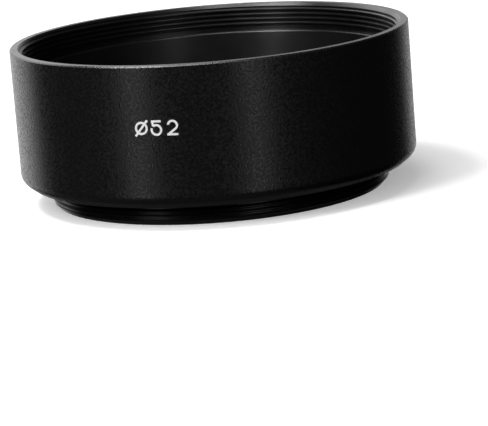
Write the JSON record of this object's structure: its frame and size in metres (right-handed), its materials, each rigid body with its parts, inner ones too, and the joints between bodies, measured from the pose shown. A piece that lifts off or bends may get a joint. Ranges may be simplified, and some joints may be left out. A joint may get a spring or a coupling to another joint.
{
  "type": "screw-in lens hood",
  "caption": "Short cylindrical metal lens hood: black turned barrel with a tapered rear, a front filter thread and a threaded rear mount ring.",
  "frame": {"origin": "centre of the mount ring's rear end, on the optical axis, at the hood's lowest plane", "axes": "+Z along the optical axis towards the subject (the hood's open front); -Y is the side that carries the size mark, which sits 16 degrees round towards -X"},
  "size_m": [0.061, 0.061, 0.0245],
  "materials": {
    "barrel_anodised": "bead-blasted and black anodised aluminium, satin",
    "ring_anodised": "fine turned and black anodised aluminium, slightly glossier than the barrel",
    "mark_ink": "white screen-printed ink, matt"
  },
  "bodies": {
    "root": {"hood_barrel": "barrel_anodised", "mount_ring": "ring_anodised", "size_mark": "mark_ink"}
  },
  "joints": []
}
